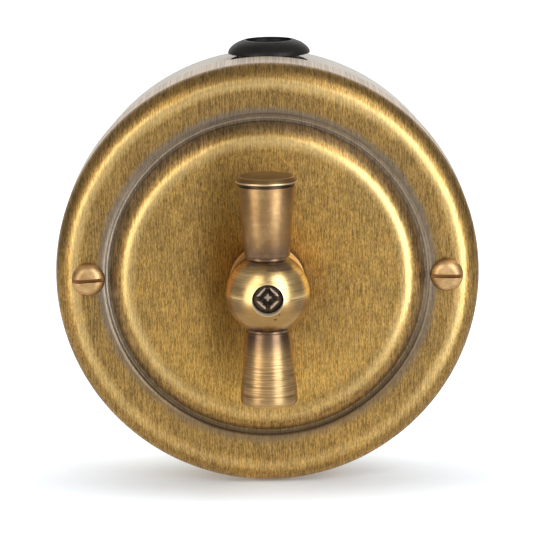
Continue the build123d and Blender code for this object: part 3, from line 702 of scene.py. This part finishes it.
groove_edge = sqrt(ball_r**2 - foot_groove_r**2)
arm_start = groove_edge + foot_groove_w
lip_back = arm_up + lip_groove_w
lip_front = lip_back + lip_t
crown_top = lip_front + crown_h
band_top = end_band - arm_down
equator_r = sqrt(ball_r**2 - (equator_w / 2) ** 2)
handle = turned("turned_handle", [
    (0, crown_top, 0),
    (crown_r, crown_top, 0.2 * mm),
    (lip_r, lip_front, 0.15 * mm),
    (lip_r, lip_back, 0.15 * mm),
    (lip_groove_r, lip_back, 0.05 * mm),
    (lip_groove_r, arm_up, 0.05 * mm),
    (arm_end_r, arm_up, 0.12 * mm),
    (arm_foot_r, arm_start, 0.15 * mm),
    (foot_groove_r, arm_start, 0),
    (foot_groove_r, groove_edge, 0),
    (equator_r, equator_w / 2, 0, (0, 0)),
    (ball_r - equator_depth, 0, 0),
    (equator_r, -equator_w / 2, 0),
    (foot_groove_r, -groove_edge, 0, (0, 0)),
    (foot_groove_r, -arm_start, 0),
    (arm_foot_r, -arm_start, 0.15 * mm),
    (arm_end_r, band_top, scribe_round),
    (arm_end_r - scribe_depth, band_top - scribe_w / 3, scribe_round),
    (arm_end_r - scribe_depth, band_top - 2 * scribe_w / 3, scribe_round),
    (arm_end_r, band_top - scribe_w, scribe_round),
    (arm_end_r, -arm_down + end_edge, 0.3 * mm),
    (arm_end_r - end_edge, -arm_down, 0.3 * mm),
    (0, -arm_down, 0),
], centre=handle_centre, axis=upward, steps=192)
cut(handle, [
    rod(bore_r, forward * bore_back, forward * bore_front),
    rod(drill_r, handle_centre, forward * drill_front, 48),
    bar((socket_side, socket_l, socket_side), handle_centre - forward * socket_middle),
])

bronze = (0.38, 0.225, 0.1, 1)
pale_bronze = (0.56, 0.37, 0.175, 1)
rose_bronze = (0.36, 0.22, 0.13, 1)
lit_ball_gold = (0.88, 0.63, 0.28, 1)
shaded_ball_gold = (0.43, 0.265, 0.095, 1)
lit_arm_gold = (0.5, 0.33, 0.155, 1)
side_shade_brown = (0.2, 0.115, 0.055, 1)
left_reflected_amber = (0.64, 0.35, 0.14, 1)
right_reflected_amber = (1.0, 0.8, 0.4, 1)
shaded_collar = (0.3, 0.16, 0.055, 1)
lit_collar = (0.72, 0.42, 0.14, 1)
plum = (0.12, 0.075, 0.06, 1)
highlight_pale = (0.95, 0.78, 0.55, 1)
bore_shade_grey = (0.08, 0.095, 0.11, 1)
rust = (0.09, 0.025, 0.012, 1)
handle_lines = (150, 150, 4600)
handle_patches = 170.0
ball_forward = (0, -0.983, 0.182)
ball_middle = 58.3 * mm
larger_pit = (Vector((1.46, -66.78, -4.1)) * mm, 0.3 * mm)
smaller_pit = (Vector((2.29, -67.06, -3.06)) * mm, 0.2 * mm)
ramp_low = -25 * mm
ramp_high = 25 * mm


def along_handle(stops):
    """Turns stops at a height in millimetres into stops on a ramp."""
    return [((stop * mm - ramp_low) / (ramp_high - ramp_low), colour) for stop, colour in stops]


# Bronze, with painted light: the ball golden above and darker below, and the lower arm more golden
turned_bronze, tree, shader = new_material("turned_bronze")
place = node(tree, "ShaderNodeTexCoord").outputs["Object"]
axes = node(tree, "ShaderNodeSeparateXYZ", {0: place}).outputs
across = calc(tree, "ABSOLUTE", axes["X"])
from_equator = calc(tree, "ABSOLUTE", axes["Z"])
right_side = remap(tree, axes["X"], -1 * mm, 3 * mm)
on_arms = remap(tree, from_equator, 8.5 * mm, 10.0 * mm)
turning = lines_on(tree, place, handle_lines)
ageing = patches_on(tree, place, handle_patches)
tone = mix(tree, ageing["Patches"], bronze, pale_bronze)
tone = mix(tree, times(tree, ageing["Specks"], 0.4), tone, rose_bronze)
# Painted light and shade: the ball golden above and darker below.
ball_light_and_shade = mix(tree, remap(tree, axes["Z"], -2.5 * mm, 0.2 * mm), shaded_ball_gold, lit_ball_gold)
tone = mix(tree, remap(tree, from_equator, 4.5 * mm, 8.0 * mm, 0.8, 0.0), tone, ball_light_and_shade)
# Painted light: the lower arm more golden.
tone = mix(tree, remap(tree, axes["Z"], -12.5 * mm, -9.5 * mm, 0.65, 0.0), tone, lit_arm_gold)

# Painted reflections in amber on the ball's upper sides, and painted shade on the arms' edges, on
# the upper arm and on the ball's sides under the equator
from_middle = vector_calc(tree, "DOT_PRODUCT", place, ball_forward, output="Value")
from_middle = calc(tree, "SUBTRACT", from_middle, ball_middle)
not_in_front = remap(tree, from_middle, 3.8 * mm, 5.2 * mm, 1.0, 0.0)
not_behind = remap(tree, from_middle, -6 * mm, -1 * mm, 0.15, 1.0)
near_ball = remap(tree, axes["Z"], -2.5 * mm, 0.5 * mm, 0.1, 0.95)
below_arm = remap(tree, axes["Z"], 7 * mm, 8.5 * mm, 1.0, 0.0)
side_reflection = mix(tree, right_side, left_reflected_amber, right_reflected_amber)
on_sides = times(tree, not_in_front, not_behind, near_ball, below_arm)
tone = mix(tree, on_sides, tone, side_reflection)
# Painted shade at the arms' edges, and on the upper arm above the ball.
shaded_arm_edge = times(tree, remap(tree, across, 2.5 * mm, 4.8 * mm, 0.0, 0.6), on_arms)
tone = mix(tree, shaded_arm_edge, tone, umber)
tone = mix(tree, remap(tree, axes["Z"], 8.5 * mm, 10.5 * mm, 0.0, 0.25), tone, umber)
# Painted shade on the ball's sides just below the equator.
at_edge = remap(tree, across, 3.5 * mm, 6.5 * mm, 0.0, 0.8)
above_neck = remap(tree, axes["Z"], -4.5 * mm, -2.0 * mm)
under_equator = remap(tree, axes["Z"], -0.8 * mm, 0.3 * mm, 1.0, 0.1)
tone = mix(tree, times(tree, at_edge, above_neck, under_equator), tone, side_shade_brown)

# Dark necks, patina in the hollows with painted shade, a painted highlight on the line on the
# equator, and painted shade and highlights on the lip and crown
uneven = remap(tree, ageing["Patches"], 0.0, 1.0, -0.7 * mm, 0.7 * mm)
height = evenly(tree, calc(tree, "ADD", axes["Z"], uneven), ramp_low, ramp_high)
neck = ramp(tree, height, along_handle([
    (-12.6, tinted(plum, 0)), (-10.8, tinted(plum, 0.45)), (-9.3, tinted(plum, 0.75)),
    (-7.2, tinted(plum, 0.78)), (-6.7, tinted(umber, 0.3)), (-6.0, tinted(umber, 0)),
    (4.4, tinted(umber, 0)), (5.8, tinted(umber, 0.5)), (6.5, tinted(plum, 0.78)),
    (8.2, tinted(plum, 0.72)), (9.8, tinted(plum, 0.35)), (12.0, tinted(plum, 0)),
]))
tone = mix(tree, neck["Alpha"], tone, neck["Color"])
# A painted highlight on the equator's line.
tone = mix(tree, remap(tree, from_equator, 0.05 * mm, 0.14 * mm, 0.35, 0.0), tone, highlight_pale)
# Painted shade in the lip's groove and on the crown, and painted highlights on the lip and the
# crown's edge.
end_shade_and_highlight = ramp(tree, evenly(tree, axes["Z"], 22 * mm, 25 * mm), [
    (0.2, tinted(near_black, 0)), (0.22, tinted(near_black, 0.9)), (0.44, tinted(near_black, 0.9)),
    (0.46, tinted(highlight_pale, 0.5)), (0.54, tinted(highlight_pale, 0.6)),
    (0.56, tinted(umber, 0.85)), (0.8, tinted(umber, 0.85)),
    (0.82, tinted(pale_bronze, 0.8)), (0.85, tinted(pale_bronze, 0.8)),
    (0.86, tinted(umber, 0.6)),
])
tone = mix(tree, end_shade_and_highlight["Alpha"], tone, end_shade_and_highlight["Color"])

# Lathe marks, strongest on the lower arm
hatch = as_grey(tree, remap(tree, turning["Lines"], 0.0, 1.0, 0.55, 1.3))
lathe_marks = ramp(tree, height, along_handle([
    (-22.0, grey(0.35)), (-19.0, grey(0.85)), (-14.5, grey(0.85)), (-11.5, grey(0.15)),
    (1.0, grey(0.15)), (4.5, grey(0.6)), (7.5, grey(0.6)), (9.0, grey(0.1)),
]))["Color"]
tone = mix(tree, 1.0, tone, mix(tree, lathe_marks, white, hatch), "MULTIPLY")

# The counterbore with painted shade inside and a painted highlight on its rim, and two rusty pits
# under it
flat_place = vector_calc(tree, "MULTIPLY", place, flattened)
from_bore = vector_calc(tree, "LENGTH", flat_place, output="Value")
bore_shade_and_highlight = ramp(tree, evenly(tree, from_bore, 3.0 * mm, 4.0 * mm), [
    (0.2, tinted(bore_shade_grey, 1)), (0.28, tinted(highlight_pale, 0.9)), (0.38, tinted(highlight_pale, 0)),
])
in_front = remap(tree, axes["Y"], -62.6 * mm, -62.4 * mm, 1.0, 0.0)
tone = mix(tree, times(tree, bore_shade_and_highlight["Alpha"], in_front), tone, bore_shade_and_highlight["Color"])
in_bore = times(tree, in_front, calc(tree, "LESS_THAN", from_bore, bore_r + 0.02 * mm))
for spot, pit_r in (larger_pit, smaller_pit):
    from_pit = vector_calc(tree, "DISTANCE", place, spot, output="Value")
    tone = mix(tree, remap(tree, from_pit, 0.6 * pit_r, pit_r, 0.9, 0.0), tone, rust)

# The collar behind, painted lighter on the right, with a painted shadow line at its edge there
behind = remap(tree, axes["Y"], -49.5 * mm, -48.5 * mm)
collar_light_and_shade = mix(tree, right_side, shaded_collar, lit_collar)
collar_edge_shadow = remap(tree, from_bore, 7.7 * mm, 8.1 * mm, 0.0, 0.85)
collar_light_and_shade = mix(tree, times(tree, collar_edge_shadow, right_side), collar_light_and_shade, near_black)
tree.links.new(mix(tree, behind, tone, collar_light_and_shade), shader.inputs["Base Color"])
polish = remap(tree, turning["Bands"], 0.0, 1.0, 0.26, 0.33)
duller_arms = times(tree, on_arms, remap(tree, axes["Z"], -8 * mm, 8 * mm, 0.05, 0.1))
for duller in (duller_arms, times(tree, in_bore, 0.3), times(tree, behind, 0.25)):
    polish = calc(tree, "ADD", polish, duller)
tree.links.new(polish, shader.inputs["Roughness"])
tree.links.new(remap(tree, in_bore, 0.0, 1.0, 1.0, 0.35), shader.inputs["Metallic"])
add_relief(tree, shader, times(tree, turning["Lines"], lathe_marks), 0.4)
handle.data.materials.append(turned_bronze)
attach(handle, "turning_group")
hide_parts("handle")


# Handle collar
# A turned flange behind the ball that covers the hole in the cover. Its hub is hollowed to
# seat the ball, and it is bronze as the handle is.
collar_back = 44.9 * mm
collar_front = 47.4 * mm
collar_r = 8.2 * mm
collar_edge = 0.5 * mm
hub_r = 5.2 * mm
seat_r = ball_r + 0.05 * mm
spindle_hole_r = 3.55 * mm
seat_depth = -handle_centre.y
hub_front = seat_depth - sqrt(seat_r**2 - hub_r**2)
seat_back = seat_depth - sqrt(seat_r**2 - spindle_hole_r**2)

collar = turned("handle_collar_flange", [
    (spindle_hole_r, collar_back, 0.2 * mm),
    (collar_r, collar_back, collar_edge),
    (collar_r, collar_front, collar_edge),
    (hub_r, collar_front, 0.15 * mm),
    (hub_r, hub_front, 0),
    (spindle_hole_r, seat_back, 0, (0, seat_depth)),
], steps=160)
collar.data.materials.append(turned_bronze)
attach(collar, "turning_group")
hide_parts("handle_collar")


# Handle screw
# A blackened pan-head screw with a cross recess, at the bottom of the ball's counterbore. It
# holds the handle on the end of the spindle. The recess and the head's edge carry painted glints.
pan_r = 3.0 * mm
pan_h = 2.2 * mm
pan_round = 1.1 * mm
pan_length = 11.0 * mm
pan_thread_r = 1.45 * mm
pan_crease = 20
recess_depth = 1.2 * mm
recess_rim = ((0.5, 2.05), (-0.5, 2.05), (-1.27, 1.27))
recess_floor = ((0.22, 0.85), (-0.22, 0.85), (-0.24, 0.24))
rim_spread = 1.1
rim_stand = 0.2 * mm
steel_patches = 420.0
steel_shades = ((0.1, 0.085, 0.075, 1), (0.2, 0.165, 0.14, 1))
glint_pale = (1.0, 0.84, 0.7, 1)

handle_screw = turned("cross_recess_screw", [
    (0, bore_back + pan_h, 0),
    (pan_r, bore_back + pan_h, pan_round),
    (pan_r, bore_back, 0.1 * mm),
    (pan_thread_r, bore_back, 0),
    (pan_thread_r, bore_back - pan_length, 0.3 * mm),
    (0, bore_back - pan_length, 0),
], steps=128)
pan_front = forward * (bore_back + pan_h)
bm = bmesh.new()
loops = []
rim_shape = (recess_rim, rim_spread, -rim_stand)
floor_shape = (recess_floor, 1.0, recess_depth)
for outline, spread, depth in (rim_shape, floor_shape):
    loops.append([
        bm.verts.new(pan_front - forward * depth
                     + Matrix.Rotation(quarter * pi / 2, 3, "Y") @ Vector((-x, 0, z)) * spread * mm)
        for quarter in range(4) for x, z in outline
    ])
rim, floor = loops
bm.faces.new(rim)
bm.faces.new(floor)
for step in range(len(rim)):
    bm.faces.new((rim[step - 1], rim[step], floor[step], floor[step - 1]))
bmesh.ops.recalc_face_normals(bm, faces=bm.faces)
cut(handle_screw, [piece_of(bm, "cutter")], crease=pan_crease)
dark_steel, tree, shader = new_material("dark_steel", metallic=1.0)
place = node(tree, "ShaderNodeTexCoord").outputs["Object"]
axes = node(tree, "ShaderNodeSeparateXYZ", {0: place}).outputs
ageing = patches_on(tree, place, steel_patches)
tone = mix(tree, ageing["Patches"], *steel_shades)
sideways = calc(tree, "ABSOLUTE", axes["X"])
upright = calc(tree, "ABSOLUTE", axes["Z"])
diagonal = calc(tree, "ADD", sideways, upright)
# Painted glints on the corners of the recess and in its middle.
glints = ramp(tree, evenly(tree, diagonal, 0.0, 5 * mm), [
    (0.1, grey(1)), (0.2, grey(0)), (0.4, grey(0)), (0.47, grey(1)), (0.53, grey(1)),
    (0.6, grey(0)),
])["Color"]
in_middle = remap(tree, diagonal, 0.7 * mm, 1.0 * mm, 1.0, 0.0)
off_cross = remap(tree, calc(tree, "MINIMUM", sideways, upright), 0.4 * mm, 0.65 * mm)
glints = times(tree, glints, calc(tree, "MAXIMUM", in_middle, off_cross),
             remap(tree, axes["Y"], -64.2 * mm, -64.0 * mm, 0.95, 0.0))
tree.links.new(mix(tree, glints, tone, glint_pale), shader.inputs["Base Color"])
tree.links.new(remap(tree, ageing["Specks"], 0.0, 1.0, 0.2, 0.34), shader.inputs["Roughness"])
handle_screw.data.materials.append(dark_steel)
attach(handle_screw, "turning_group")
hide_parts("handle_screw")


# Base
# A round moulded cup of ivory plastic that is screwed to the wall. Its top has the cable entry,
# a flat-bottomed recess with a hole. The cover's skirt hides its front half.
ivory_patches = 90.0
ivory_shades = ((0.715, 0.672, 0.6, 1), (0.742, 0.7, 0.628, 1))

ivory_plastic, tree, shader = new_material("ivory_plastic", specular_ior_level=0.45)
place = node(tree, "ShaderNodeTexCoord").outputs["Object"]
cloud = patches_on(tree, place, ivory_patches)
tree.links.new(mix(tree, cloud["Patches"], *ivory_shades), shader.inputs["Base Color"])
tree.links.new(remap(tree, cloud["Specks"], 0.0, 1.0, 0.34, 0.46), shader.inputs["Roughness"])
add_relief(tree, shader, cloud["Specks"], 0.12, 0.05 * mm)
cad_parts["base"].data.materials[0] = ivory_plastic


# Brass parts inside
# The cover's inserts, the earth strap and terminal, the terminal blocks and the rotor's ring are
# bright brass, cut and drawn, with a faint grain.
inner_patches = 240.0


def inner_finish(slot, nodes, dull, clean, lines, polish, metallic=1.0):
    """Gives a finish to nodes that keep their solids."""
    finish, tree, shader = new_material(slot, metallic=metallic)
    place = node(tree, "ShaderNodeTexCoord").outputs["Object"]
    grain = lines_on(tree, place, lines)["Lines"]
    clouds = patches_on(tree, place, inner_patches)
    tone = mix(tree, clouds["Patches"], dull, clean)
    tone = mix(tree, times(tree, grain, 0.25), tone, dull)
    tree.links.new(tone, shader.inputs["Base Color"])
    tree.links.new(remap(tree, clouds["Specks"], 0.0, 1.0, *polish), shader.inputs["Roughness"])
    add_relief(tree, shader, grain, 0.15)
    for name in nodes:
        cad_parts[name].data.materials[0] = finish


inner_finish(
    "bright_brass",
    ("cover_inserts", "earth_strap", "earth_terminal", "terminal_blocks", "contact_ring"),
    dull=(0.58, 0.38, 0.12, 1), clean=(0.78, 0.56, 0.22, 1),
    lines=(900, 900, 3000), polish=(0.2, 0.34),
)


# Springs
# The contact springs and the detent springs are cut and bent from rolled bronze strip. The
# first ones wipe on the rotor's ring, and the others hold its square cam.
inner_finish(
    "spring_bronze", ("contact_springs", "detent_springs"),
    dull=(0.5, 0.29, 0.14, 1), clean=(0.68, 0.43, 0.23, 1),
    lines=(2600, 700, 2600), polish=(0.18, 0.28),
)


# Plated steel
# The screws inside, the spindle and its washer are zinc plated, and the spindle's clip is
# blackened as the handle's screw is.
inner_finish(
    "zinc_steel",
    ("earth_screw", "mechanism_screws", "cap_screws", "terminal_screws", "spindle",
     "spindle_washer"),
    dull=(0.44, 0.45, 0.44, 1), clean=(0.62, 0.63, 0.6, 1),
    lines=(600, 600, 600), polish=(0.24, 0.42),
)
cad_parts["spindle_clip"].data.materials[0] = dark_steel


# Mouldings
# The mechanism's body and cap are black moulded resin, screwed together around the rotor, which
# is moulded in brown. All three keep the dull skin of the mould.
inner_finish(
    "dark_moulding", ("mechanism_body", "mechanism_cap"),
    dull=(0.022, 0.021, 0.02, 1), clean=(0.034, 0.033, 0.032, 1),
    lines=(800, 800, 800), polish=(0.42, 0.6), metallic=0.0,
)
inner_finish(
    "brown_moulding", ("rotor",),
    dull=(0.085, 0.036, 0.022, 1), clean=(0.13, 0.06, 0.036, 1),
    lines=(800, 800, 800), polish=(0.32, 0.5), metallic=0.0,
)
